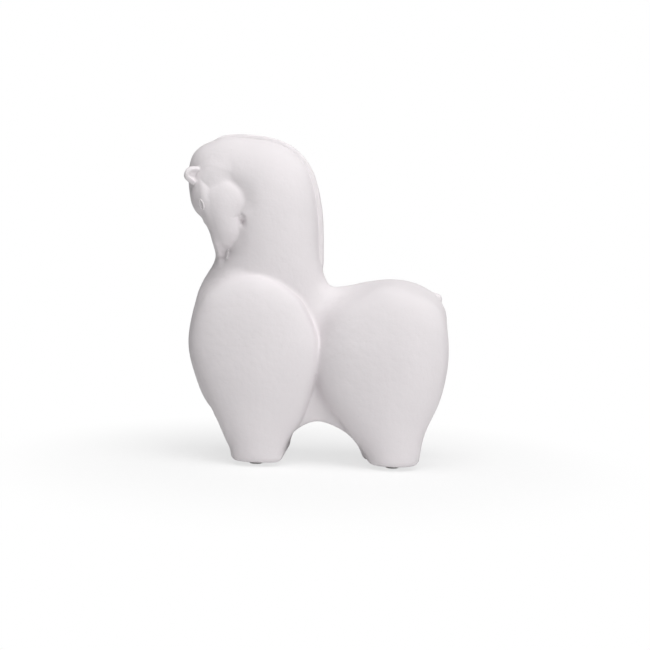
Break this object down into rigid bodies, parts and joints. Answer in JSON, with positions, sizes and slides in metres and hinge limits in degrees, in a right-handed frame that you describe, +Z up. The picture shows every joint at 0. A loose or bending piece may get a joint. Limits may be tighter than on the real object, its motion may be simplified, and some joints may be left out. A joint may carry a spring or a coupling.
{
  "type": "horse figurine",
  "caption": "Stout matte ceramic horse with a tucked chin, swelling shoulder and haunch, a leg arch and round foot pads, standing free as an ornament.",
  "frame": {"origin": "middle of the object's box, on the floor under the pads", "axes": "+Z up, -X towards the horse's head and chest, +X towards its tail, -Y towards its left side"},
  "size_m": [0.2032, 0.094, 0.2495],
  "materials": {
    "bisque": "matte unglazed, finely sanded",
    "pad_rubber": "cloudy clear, smooth"
  },
  "bodies": {
    "root": {"body_left_shell": "bisque", "body_right_shell": "bisque", "mane_ridge": "bisque", "ear_left": "bisque", "ear_right": "bisque", "tail_stub": "bisque", "foot_pad_front_left": "pad_rubber", "foot_pad_front_right": "pad_rubber", "foot_pad_rear_left": "pad_rubber", "foot_pad_rear_right": "pad_rubber"}
  },
  "joints": []
}
